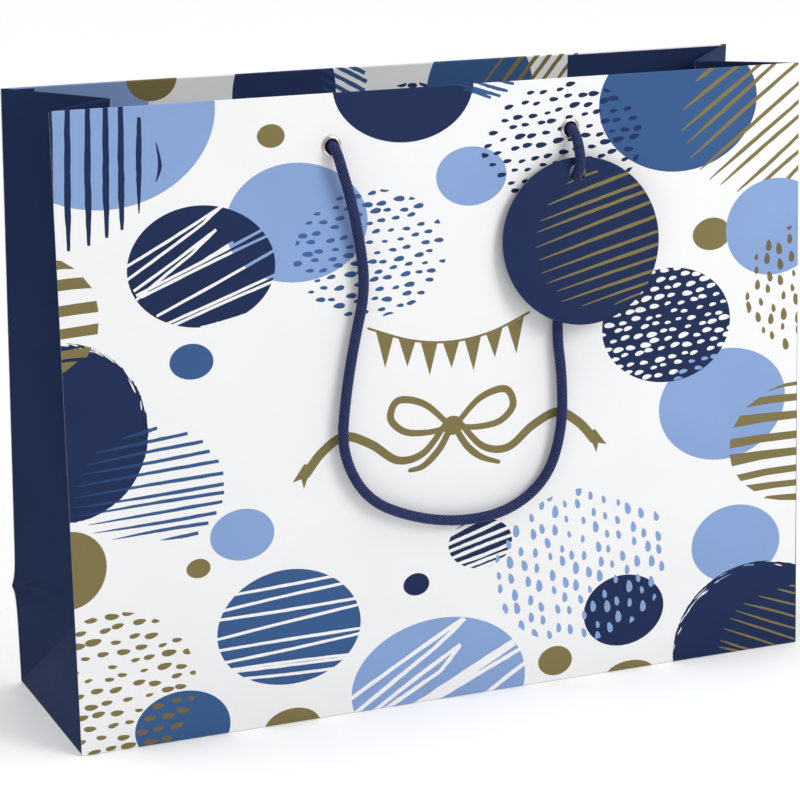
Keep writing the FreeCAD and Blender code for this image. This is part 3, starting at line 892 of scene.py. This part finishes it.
def left_half(put, disc):
    """The marks of the left half below the top band."""
    disc("sky", -73.9, 231.9, 33.8, 26.9, 9)
    scribble = lines([
        (-154, 219, -109, 242), (-154, 213, -118, 235), (-118, 235, -109, 242),
        (-151, 208, -112, 232), (-150, 204, -124, 222), (-124, 222, -112, 232),
        (-150, 206, -86, 232), (-148, 205, -85, 228.5), (-141, 196, -84, 221),
        (-137, 192, -84, 210), (-134, 191, -85, 207), (-121, 189, -99, 193)], 1.35, 4, BLUNT)
    scribble.append(stroke([(-118, 219.3), (-104, 225.2)], [0.6, 2.6]))
    disc("navy", -119.4, 216, 34.6, 27, 10, scribble)
    put("blue", dabs(-38.6, 215, 37.6, 29.3, 4, 7.7, 4.4, 4.7, 2.1, 6), over={"sky": "slate"})
    disc("blue", -125.8, 174.1, 10.2, 8.1, 11)
    put("navy", [oval(-186.5, 147.9, 39.4, 40.2, count=260, rough=0.006, seed=12)],
        worn_rim(-186.5, 147.9, 39.4, 40.2, 8, 84, 34, 5))
    put("gold", slabs(-190, [
        (-176.9, 220.1, -183, 224.2, 222.2, 4), (-169.8, 211.1, -173.5, 216.2, 213.3, 4.9),
        (-167.3, 200.4, -168, 205.4, 201.8, 4.8), (-168.2, 190.6, -167.6, 195.4, 191.8, 4.5),
        (-173.5, 181, -171.1, 185.3, 182.6, 3.7), (-184, 175.3, -177.8, 179.5, 177.3, 4.1)]))
    put("blue", lines([
        (-160, 143, -143, 146), (-172, 138, -129, 142), (-176, 133, -122, 137.5),
        (-179, 129, -119, 132.8), (-181, 124, -115, 127.8), (-182, 119, -113, 122),
        (-182, 114.5, -113, 117), (-181, 110.5, -113, 113.2), (-177, 106, -114, 109),
        (-175, 102, -117, 104.2), (-166, 98, -121, 100), (-144, 95, -126, 96)],
        1.75, 10, (0.12, 0.7, 1, 0.9)), over={"navy": "dusk"})
    disc("sky", -105, 92.4, 15.3, 12.1, 13)
    disc("gold", -126.6, 79.5, 5.7, 4.5, 14)
    disc("gold", -186.6, 86.3, 17.4, 17.7, 15)
    disc("blue", -83.9, 45.9, 34.8, 27.5, 16, lines([
        (-110, 65, -60, 67.3), (-117, 58, -55, 63.3), (-119, 54, -48, 55.3), (-120, 45, -47, 52.3),
        (-119, 39.7, -47, 40.6), (-118, 33.6, -48, 38.3), (-114, 29.9, -53, 28.6),
        (-113, 28.8, -54, 27.2), (-107, 24.8, -59, 23)], 1.45, 6, BLUNT))
    disc("blue", -136.9, 5.9, 22.8, 17.5, 17)
    put("gold", dabs(-168.2, 28.7, 38.4, 35.8, 2, 9, 5.6, 5.8, 2.5, 15), over={"blue": "bronze"})
    disc("gold", -84, -2, 13.8, 9.2, 18)


def right_half(put, disc):
    """The marks of the middle and the right half."""
    scribble = lines([
        (-56, 6.5, 3, 38), (-54, -1, -13, 25), (-13, 25, 4, 38), (-44, -1, 1.5, 25.5),
        (-39, -1, -9, 14), (-9, 14, 1.5, 25.5), (-24, -2, 30, 24), (-20, -2, 30, 22),
        (-15, -1, 33, 19), (14, -1, 36, 12)], 2.1, 7, BLUNT)
    scribble.append(stroke([(-24, -2), (0, 9.2), (28, 23)], [3.6, 3, 1.4]))
    disc("sky", -9.4, 7.1, 45.2, 32.6, 19, scribble)
    disc("navy", -20.3, 57.8, 6.6, 5.3, 20)
    disc("gold", 137.2, 209.8, 10.1, 7.9, 21)
    disc("sky", 172.1, 210.8, 27.3, 23.3, 22)
    put("gold", dabs(186.3, 179.3, 30.4, 31.5, 95, 7.6, 6.6, 4.9, 2.7, 28), over={"sky": "bronze"})
    disc("sky", 143.3, 126.4, 35.1, 27.2, 23)
    disc("navy", 112.9, 168, 35.1, 27.3, 24,
         dabs(112.9, 168, 35.3, 27.5, 5, 6.9, 4.2, 4.8, 2.1, 29))
    put("gold", slabs(190, [
        (168, 129.6, 170, 130.6, 132.4, 2.2), (166, 76.6, 168, 77.4, 74.6, 3.8),
        (156, 123, 164, 127.4, 125.3, 3.5), (149, 113.7, 153, 119.4, 116.6, 3.8),
        (147, 103.6, 147.6, 108.3, 106.6, 3.8), (148.4, 94.6, 147, 100.6, 98.2, 3.8),
        (153.4, 86.6, 151, 90, 89.8, 3.5), (161, 80.6, 156, 84.2, 82.2, 3.2)]))
    disc("navy", 12.9, 73.4, 16.3, 12.1, 25, lines([
        (-5, 78, 12, 84.5), (-6, 74.4, 25, 83.5), (-6, 70.8, 31, 80), (-5, 67.2, 32, 76),
        (-3, 64, 32, 72), (1, 61.6, 31, 68.4), (6, 60.2, 28, 65)], 1.8, 8, (0.8, 1, 1, 0.9)))
    disc("navy", 88.3, 30.3, 22.1, 17.4, 26)
    put("sky", dabs(66.9, 55.6, 47.6, 38, 98, 8.4, 6.6, 5.2, 2.8, 34), over={"navy": "sky"})
    disc("gold", 51.1, 10.2, 9.1, 7.2, 27)
    disc("gold", 91.4, -2.6, 13.2, 7.1, 28)
    disc("sky", 150.5, 55.7, 24.8, 19.3, 29)
    put("navy", [oval(164.5, 1.6, 49.8, 43, count=300, rough=0.005, seed=30)],
        worn_rim(164.5, 1.6, 49.8, 43, 70, 170, 22, 9))
    put("gold", fan(9, [(181, 30), (158, 25.5), (146, 16), (141, 4)],
                    [(189, 27.5), (190, 14), (187, -2), (160, -3)], 1.05, 39, (0.3, 1, 1, 0.9)))


# ---- cutting a sheet into inks


def cut_sheet(outline, holes, art, rows, grid):
    """Triangles of a flat sheet, each wholly in one ink: (points, triangles, inks)."""
    verts, edges, faces, owner = [], [], [], {}

    def loop(poly):
        turned = poly if area(poly) > 0 else poly[::-1]
        first = len(verts)
        verts.extend(Vector(p) for p in turned)
        faces.append(list(range(first, len(verts))))
        return len(faces) - 1

    loop(outline)
    empty = {loop(h) for h in holes}
    for number, (_, shapes, cuts, _) in enumerate(art):
        for poly in shapes:
            owner[loop(poly)] = (number, True)
        for poly in cuts:
            owner[loop(poly)] = (number, False)
    for a, b in rows:
        edges.append((len(verts), len(verts) + 1))
        verts.extend((Vector(a), Vector(b)))
    verts.extend(Vector(p) for p in grid)
    points, _, tris, _, _, sources = delaunay_2d_cdt(verts, edges, faces, 0, 1e-4)
    kept, inks = [], []
    for tri, found in zip(tris, sources):
        found = set(found)
        if 0 not in found or found & empty:
            continue
        marks = {}
        for f in found:
            if f in owner:
                number, adds = owner[f]
                marks[number] = marks.get(number, True) and adds
        ink = "white"
        for number in sorted(marks):
            if marks[number]:
                ink = art[number][3].get(ink, art[number][0])
        kept.append(tuple(tri))
        inks.append(ink)
    return points, kept, inks


def sheet_object(name, cut, shape, ink_of, both_sides=False):
    """Builds a sheet with real thickness from its cut; shape(x, s, side) gives (point, normal)."""
    points, tris, inks = cut
    used = sorted({i for t in tris for i in t})
    index = {old: new for new, old in enumerate(used)}
    tris = [tuple(index[i] for i in t) for t in tris]
    flat = [points[i] for i in used]
    count = len(flat)
    places, normals = [], []
    for back in (0, 1):
        for p in flat:
            place, normal = shape(p.x, p.y, back)
            places.append(place)
            normals.append(normal if not back else -normal)
    names = [ink_of(ink, sum(flat[i].y for i in t) / 3) for ink, t in zip(inks, tris)]
    kinds = sorted(set(names)) + ["paper_back", "paper_edge"]
    slots = [kinds.index(n) for n in names]
    faces = list(tris) + [tuple(count + i for i in reversed(t)) for t in tris]
    slots += list(slots) if both_sides else [len(kinds) - 2] * len(tris)
    seen = {side: None for t in tris for side in zip(t, t[1:] + t[:1])}
    for a, b in seen:
        if (b, a) not in seen:
            faces.append((b, a, count + a, count + b))
            slots.append(len(kinds) - 1)
    return to_mesh(name, places, faces, [MATERIALS[k] for k in kinds], slots, normals)


# ---- the two folded wall sheets

FOLD = STACK / 2  # radius of the fold over the top edge
CURL = 0.8  # radius of the fold at the base
KINK = 50.0  # height of the pressed crease
HOLE = 3.15  # radius of the holes for the eyelets
TUCK, HEM_MARGIN = 1.2, 3.5


def bow(side, x, s):
    """How far the paper of a wall stands off its flat plane, outwards, in millimetres."""
    edge = max(0.0, 1 - (abs(x) / HALF_WIDTH) ** 6)
    low = min(1.0, max(0.0, s / 22))
    high = min(1.0, max(0.0, (LENGTH[side] - HEM - 4 - s) / 40))
    seed = 3.0 if side == "front" else 8.0
    wave = noise.noise(Vector((x / 120, s / 95, seed)))
    ripple = noise.noise(Vector((x / 45, s / 60, seed + 9)))
    return edge * low * high * (0.75 * wave + 0.22 * ripple)


def edge_swell(z):
    """How far the back fold of a side stands out: kinked where the base was pressed flat."""
    low = 1.5 * min(1.0, max(0.0, z / KINK))
    return low + 1.75 * math.exp(-abs(z - KINK) / 4.5) * min(1.0, z / 20)


def wall_shape(side):
    """Where a wall's flat sheet goes: curled in at the base, up, over the top and down inside."""
    straight = LENGTH[side] - FOLD
    turn = WALL[side].to_3x3()

    def widened(x, z):
        if side == "front":
            return x
        share = max(0.0, (abs(x) - 120) / (HALF_WIDTH - 120))
        return x + math.copysign(edge_swell(z) * share ** 3, x)

    def shape(x, s, back):
        depth = PAPER * back
        if s > straight:
            a = (s - straight) / FOLD
            if a < pi:
                r = FOLD - depth
                place = (widened(x, s), FOLD - r * cos(a), straight + r * sin(a))
                normal = (0, -cos(a), sin(a))
            else:
                down = 2 * straight + pi * FOLD - s
                place = (widened(x, down), 2 * FOLD - depth, down)
                normal = (0, 1, 0)
        elif s < CURL:
            a = min((CURL - s) / CURL, pi / 2)
            r = CURL - depth
            beyond = max(0.0, CURL - s - CURL * pi / 2)
            place = (widened(x, s), CURL - r * cos(a) + beyond, CURL + 0.12 - r * sin(a))
            normal = (0, -cos(a), -sin(a))
        else:
            d = bow(side, x, s)
            place = (widened(x, s), depth - d, s)
            normal = (d - bow(side, x + 1, s), -1, d - bow(side, x, s + 1))
        return WALL[side] @ Vector(place), (turn @ Vector(normal)).normalized()

    return shape


def wall_sheet(side):
    """One printed sheet: its outline with holes, cut into inks, then folded into its wall."""
    top = LENGTH[side]
    straight = top - FOLD
    over = straight + pi * FOLD
    end = over + HEM - FOLD
    low = CURL * (1 - pi / 2) - TUCK
    hem = HALF_WIDTH - HEM_MARGIN
    mid = straight + pi * FOLD / 2
    outline = [(-HALF_WIDTH, low), (HALF_WIDTH, low), (HALF_WIDTH, straight + 0.3), (hem, mid),
               (hem, end), (-hem, end), (-hem, mid), (-HALF_WIDTH, straight + 0.3)]
    outer, inner = top - EYELET_DROP, 2 * straight + pi * FOLD - (top - EYELET_DROP)
    holes = [oval(TURN[side] * x, s, HOLE, HOLE, count=40, wobble=0)
             for x in EYELET_X.values() for s in (outer, inner)]
    heights = [straight + pi * FOLD * k / 8 for k in range(9)]
    heights += [CURL - CURL * pi / 2 * k / 5 for k in range(6)]
    rows = [((-HALF_WIDTH - 2, s), (HALF_WIDTH + 2, s)) for s in heights]
    grid = [(-180.3 + 9.02 * i + 0.013 * j, 6.1 + 8.03 * j) for i in range(41) for j in range(30)]
    if side == "back":
        rows += [((x, KINK + 3.5 * k), (x + 14, KINK + 3.5 * k)) for x in (-187, 173)
                 for k in range(-5, 6)]
    cut = cut_sheet(outline, holes, wall_art(side), rows, grid)

    def ink_of(ink, s):
        # The hems take darker copies of the inks and a lighter copy of navy: painted shade and painted light.
        place = "hem" if s > mid else "wall"
        ink = "night" if place == "hem" and ink == "navy" else ink
        ink_material(ink, place)
        return f"ink_{ink}_{place}"

    obj = sheet_object(f"{side}_wall_paper", cut, wall_shape(side), ink_of)
    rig.ride(obj, f"{side}_wall")
    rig.replaces(obj, f"{side}_panel", f"{side}_hem")
    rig.slot(obj, "printed_paper")


for wall_side in ("front", "back"):
    wall_sheet(wall_side)


# ---- gussets

MATERIALS["gusset"] = paper_material("gusset_navy", linear(30, 46, 80), 0.6, 0.05, 0.05, 0.06)
GUSSET_IN = 0.45  # how far behind a wall's outer face its gusset starts
CREASE_INSET, CREASE_SHIFT, CREASE_DROP = 37, 2, 2
APEX_INSET, APEX_HEIGHT = 17, 47


def gusset_half(bag_side, name, wall):
    """Half a folded-in side: from a wall's edge to the middle crease, with its turned-in hem."""
    sign = -1 if wall == "front" else 1
    corner = bag_side * (HALF_WIDTH - 0.25)
    low = Vector((corner, sign * (HALF_DEPTH - GUSSET_IN), 0.9))
    high = Vector((corner, sign * (TOP_DEPTH[wall] - GUSSET_IN), HEIGHT - 0.6))
    crease = Vector((bag_side * (HALF_WIDTH - CREASE_INSET), CREASE_SHIFT, HEIGHT - CREASE_DROP))
    apex = Vector((bag_side * (HALF_WIDTH - APEX_INSET), 0, APEX_HEIGHT))
    base = Vector((corner, 0, 0.9))
    across, low_rows = 30, 14
    seed = 5.0 * bag_side + 2.0 * sign

    def flat(u, v):
        if v >= 0:
            return low.lerp(high, v).lerp(apex.lerp(crease, v), u)
        return low.lerp(base, u).lerp(low.lerp(apex, u), 1 + v)

    def outwards(u, v):
        e = 0.01
        v = max(v, 0.02) if v >= 0 else min(v, -0.03)
        a = flat(min(u + e, 1), v) - flat(max(u - e, 0), v)
        b = flat(u, v + e) - flat(u, v - e)
        n = a.cross(b)
        if n.length < 1e-9:
            return Vector((bag_side, 0, 0))
        n.normalize()
        return n if n.x * bag_side > 0 else -n

    def place(u, v):
        p, n = flat(u, v), outwards(u, v)
        out = edge_swell(p.z) * (1 - u) ** 4 if wall == "back" else 0.0
        if v >= 0:
            swell = sin(pi * u) * min(1, v * 8) * min(1, (1 - v) * 6 + 0.25)
            swell *= 0.9 + 1.3 * noise.noise(Vector((u * 1.7, v * 3.0, seed)))
            # A pressed crease: a sharp ridge with a softer hollow under it.
            above = p.z - (KINK + 0.6 + 3 * min(1.0, u / 0.25))
            fade = (1.0 if wall == "back" else 0.35) * max(0.0, 1 - u / 0.72)
            ridge = 2.5 * math.exp(-(above / 1.5) ** 2) - 1.2 * math.exp(-((above + 4.5) / 3.0) ** 2)
            swell += fade * ridge * min(1.0, 0.1 + u * 5)
        else:
            swell = sin(pi * min(1, -v)) * u * 1.1
        return p + n * swell + Vector((bag_side, 0, 0)) * out, n

    steps = [i / across for i in range(across + 1)]
    at = KINK / HEIGHT
    rise = [-1 + j / low_rows for j in range(low_rows)] + [1e-6]
    rise += [at * j / 50 for j in range(1, 50)] + [at + (1 - at) * (j / 70) ** 1.3 for j in range(71)]
    rows = [[place(u, v)[0] for u in steps] for v in rise]
    r = 0.36  # radius of the fold between the gusset and its hem
    for k in range(1, 4):
        a = pi * k / 4
        rows.append([p + Vector((0, 0, r * sin(a))) - n * (r - r * cos(a))
                     for p, n in (place(u, 1.0) for u in steps)])
    for j in range(13):
        v = 1 - (HEM / HEIGHT) * j / 12
        hem = [place(0.025 + 0.975 * u if j else u, v) for u in steps]
        rows.append([p - n * 2 * r for p, n in hem])
    width = across + 1
    corners = [j * width + i for j in range(len(rows) - 1) for i in range(across)]
    faces = [(a, a + 1, a + width + 1, a + width) for a in corners]
    obj = to_mesh(f"{name}_gusset_{wall}_paper", [p for row in rows for p in row], faces,
                  [MATERIALS["gusset"], MATERIALS["paper_back"]])

    def face_outwards(made):
        bmesh.ops.remove_doubles(made, verts=made.verts, dist=2e-5)
        made.faces.ensure_lookup_table()
        probe = made.faces[(low_rows + 50) * across]
        probe.normal_update()
        if probe.normal.x * bag_side < 0:
            bmesh.ops.reverse_faces(made, faces=made.faces)

    reworked(obj, face_outwards)
    thick = obj.modifiers.new("thick", "SOLIDIFY")
    thick.thickness = PAPER * MM
    thick.offset = 0
    thick.material_offset = 1
    thick.material_offset_rim = 0
    bake_modifiers(obj)
    obj.data.set_sharp_from_angle(angle=radians(24))
    lean = LEAN[wall]
    on = Vector((0, sign * (HALF_DEPTH - 144 * math.tan(lean)), 144)) * MM
    inwards = Vector((0, -sign * cos(lean), -sin(lean)))
    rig.blend(obj, "root", f"{wall}_wall", on + inwards * (34 if wall == "front" else 37) * MM, on)
    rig.replaces(obj, f"{name}_gusset_{wall}_half", f"{name}_gusset_{wall}_hem",
                f"{name}_gusset_base_triangle")
    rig.slot(obj, "navy_paper")


for bag_sign, bag_name in ((-1, "left"), (1, "right")):
    for wall_side in ("front", "back"):
        gusset_half(bag_sign, bag_name, wall_side)


# ---- eyelets


def nickel_material():
    material, tree, main = shader("nickel_plate", 0.16, 0.5, 1.0)
    cloud = noise_at(tree, 260.0, 3.0)
    tint = ramp(tree, cloud, 0.38, 0.62, (0.80, 0.79, 0.78), (0.50, 0.36, 0.31))
    tree.links.new(tint, main.inputs["Base Color"])
    fine = noise_at(tree, 2600.0, 2.0)
    tree.links.new(ramp(tree, fine, 0.3, 0.7, 0.10, 0.24), main.inputs["Roughness"])
    bump(tree, main, [(fine, 0.12, 0.0001)])
    return material


MATERIALS["nickel"] = nickel_material()


def eyelet(side, bag_side):
    """A pressed eyelet: domed outer rim, thin barrel, and the barrel's end curled over inside."""
    # The profile's points are (radius, depth behind the printed face).
    dome, curl = [pi * k / 12 for k in range(13)], [pi * k / 6 for k in range(7)]
    profile = [(3.78 - 0.98 * cos(a), -0.05 - 0.88 * sin(a)) for a in dome]
    profile += [(4.72, 0), (4.45, -0.02), (3.12, -0.02), (3.12, 1.75)]
    profile += [(3.55 - 0.34 * cos(a), 1.78 + 0.26 * sin(a)) for a in curl]
    profile += [(3.9, 1.72), (3.98, 1.95), (3.55, 2.2), (2.95, 2.02), (2.8, 1.6)]
    count = 96
    points = []
    x, up = TURN[side] * EYELET_X[bag_side], LENGTH[side] - EYELET_DROP
    for m in range(count):
        a = 2 * pi * m / count
        for r, y in profile:
            points.append(on_wall(side, x + r * cos(a), y, up + r * sin(a)))
    faces = [tuple(i % len(points) for i in face) for face in ring_faces(count, len(profile))]
    obj = to_mesh(f"{side}_{bag_side}_eyelet_ring", points, faces, [MATERIALS["nickel"]])
    reworked(obj, lambda made: bmesh.ops.recalc_face_normals(made, faces=made.faces))
    obj.data.set_sharp_from_angle(angle=radians(50))
    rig.ride(obj, f"{side}_wall")
    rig.replaces(obj, f"{side}_{bag_side}_eyelet")
    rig.slot(obj, "nickel")


for wall_side in ("front", "back"):
    for bag_name in ("left", "right"):
        eyelet(wall_side, bag_name)


# ---- gift tag

TAG_SPOT = Vector((63.1, -6.2, 245.2))
TAG_PLACE = WALL["front"] @ Matrix.Translation(TAG_SPOT)
for degrees, axis in ((-5, "X"), (-5, "Z"), (-0.8, "Y")):
    TAG_PLACE = TAG_PLACE @ Matrix.Rotation(radians(degrees), 4, axis)
TAG_RADIUS, TAG_DROP, TAG_THICK, TAG_HOLE = 38.9, 31.7, 0.5, 4.0


def gift_tag():
    """The round navy tag, bowed a little, with brushed gold lines and a punched hole."""
    turn = TAG_PLACE.to_3x3()

    def shape(x, z, back):
        curve = 0.9 * (x / TAG_RADIUS) ** 2
        slope = 1.8 * x / TAG_RADIUS ** 2
        place = TAG_PLACE @ Vector((x, curve + TAG_THICK * back, z))
        return place, (turn @ Vector((slope, -1, 0))).normalized()

    strokes = [(-6, 27, 8, 31, 1.1), (-16, 18, 24, 29, 1.9), (-20, 11, 31, 24, 1.7),
               (-22, 6, 33, 20, 1.8), (-23, -1, 36, 15, 1.8), (-22, -7, 38, 8, 1.9),
               (-21, -13, 39, 1, 1.7), (-19, -18, 39, -5, 1.8), (-14, -22, 38, -11, 1.5),
               (-12, -27, 37, -17, 1.6), (-2, -30, 35, -22, 1.3), (14, -31, 29, -27, 1)]
    gold = [stroke([(x0, z0 - TAG_DROP), ((x0 + x1) / 2, (z0 + z1) / 2 - TAG_DROP + 0.3),
                    (x1 + 2, z1 + 0.6 - TAG_DROP)],
                   [0.25, 0.55 * w, 0.85 * w, 0.9 * w, 0.75 * w], seed=k)
            for k, (x0, z0, x1, z1, w) in enumerate(strokes)]
    outline = oval(0, -TAG_DROP, TAG_RADIUS, TAG_RADIUS, count=180, wobble=0)
    hole = oval(0, 0, TAG_HOLE, TAG_HOLE, count=48, wobble=0)
    grid = [(-38 + 3.1 * i + 0.01 * j, -70 + 3.1 * j) for i in range(26) for j in range(25)]
    cut = cut_sheet(outline, [hole], [("gold", gold, [], {})], [], grid)

    def ink_of(ink, _):
        chosen = "navy" if ink == "white" else ink
        ink_material(chosen, "tag")
        return f"ink_{chosen}_tag"

    obj = sheet_object("round_gift_tag", cut, shape, ink_of, both_sides=True)
    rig.ride(obj, "tag")
    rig.replaces(obj, "gift_tag")
    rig.slot(obj, "tag_card")
    return obj


tag = gift_tag()


# ---- carried-over CAD pieces


def board_material():
    """Uncoated grey board: flecked pulp with a rough bite."""
    material, tree, main = shader("grey_board", 0.92, 0.12)
    fleck = noise_at(tree, 1500.0, 4.0)
    cloud = noise_at(tree, 70.0, 3.0)
    base = ramp(tree, fleck, 0.28, 0.62, (0.20, 0.19, 0.175), (0.47, 0.46, 0.43))
    tone = ramp(tree, cloud, 0.3, 0.7, 0.9, 1.05)
    tree.links.new(multiplied(tree, base, tone), main.inputs["Base Color"])
    bump(tree, main, [(fleck, 0.5, 0.0003), (cloud, 0.2, 0.001)])
    return material


MATERIALS["board"] = board_material()
MATERIALS["base"] = paper_material("base_white", [0.80, 0.80, 0.79], 0.55, 0.3, 0.015, 0.08)
CARRIED = {
    "front_reinforcing_card": "board", "back_reinforcing_card": "board", "base_board": "board",
    "side_seam_strip": "paper_back", "base_outer_flap": "base", "base_inner_flap": "paper_back",
    "base_left_flap": "gusset", "base_right_flap": "gusset",
}
for wall_side in ("front", "back"):
    for bag_name in ("left", "right"):
        CARRIED[f"{wall_side}_{bag_name}_washer"] = "nickel"
for cad_name, key in CARRIED.items():
    mesh = frame["nodes"][cad_name].data
    mesh.materials.clear()
    mesh.materials.append(MATERIALS[key])


# ---- cords


def declare_rope(made, with_pieces):
    """A handle as a cord of its whole length, from eyelet to eyelet."""
    loop, body, points, length, _ = made
    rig.cord(loop, exit=list(points[0] * MM), length=length * MM, diameter=2 * ROPE * MM,
            far_end="object", stiffness="limp", lay="hanging",
            path=[list(p * MM) for p in body[::6]] + [list(body[-1] * MM)],
            with_pieces=with_pieces)


declare_rope(front_rope, front_rope[4] + [tag])
declare_rope(back_rope, back_rope[4])


# ---- floor, world and lights

floor_mesh = bpy.data.meshes.new("floor")
floor_mesh.from_pydata([(-9, -6, 0), (9, -6, 0), (9, 14, 0), (-9, 14, 0)], [], [(0, 1, 2, 3)])
floor = add_object("floor", floor_mesh)
floor_material, _, floor_main = shader("pale_floor", 0.9, 0.05)
floor_main.inputs["Base Color"].default_value = (0.93, 0.93, 0.93, 1)
floor_mesh.materials.append(floor_material)
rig.stage(floor)

world = bpy.data.worlds.new("studio")
scene.world = world
world.use_nodes = True
tree = world.node_tree
tree.nodes.clear()
direction = node(tree, "ShaderNodeTexCoord").outputs["Generated"]
split = node(tree, "ShaderNodeSeparateXYZ", [("Vector", direction)])
sky = ramp(tree, split.outputs["Z"], 0.0, 0.9, 0.62, 1.0)
path = node(tree, "ShaderNodeLightPath")
seen_by_camera = node(tree, "ShaderNodeMix", [("Factor", path.outputs["Is Camera Ray"])],
                      data_type="RGBA")
tree.links.new(sky, seen_by_camera.inputs[6])
seen_by_camera.inputs[7].default_value = (1.7, 1.7, 1.7, 1)
back = node(tree, "ShaderNodeBackground", [("Color", seen_by_camera.outputs[2])], Strength=0.6)
node(tree, "ShaderNodeOutputWorld", [("Surface", back.outputs["Background"])])


def lamp(name, kind, energy, from_place, **values):
    """A light that shines from a place, or for a sun from a direction, towards the bag."""
    data = bpy.data.lights.new(name, kind)
    data.energy = energy
    for label, value in values.items():
        setattr(data, label, value)
    obj = add_object(name, data)
    obj.rotation_euler = from_place.to_track_quat("Z", "Y").to_euler()
    return obj


KEY_PLACE, BAG_MIDDLE = Vector((0.85, -1.25, 1.05)), Vector((0, -0.05, 0.17))
key = lamp("key", "AREA", 13.2, KEY_PLACE - BAG_MIDDLE, shape="DISK", size=0.85)
key.location = KEY_PLACE
lamp("overhead", "SUN", 1.35, Vector((0.05, 0.1, 1.0)), angle=radians(70))
lamp("rear_fill", "SUN", 0.55, Vector((-0.7, 0.9, 0.7)), angle=radians(50))

with open("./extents.json", "w") as out_file:
    json.dump({"cad": [list(v) for v in cad_bounds], "visual": [list(v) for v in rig.bounds()]},
              out_file)
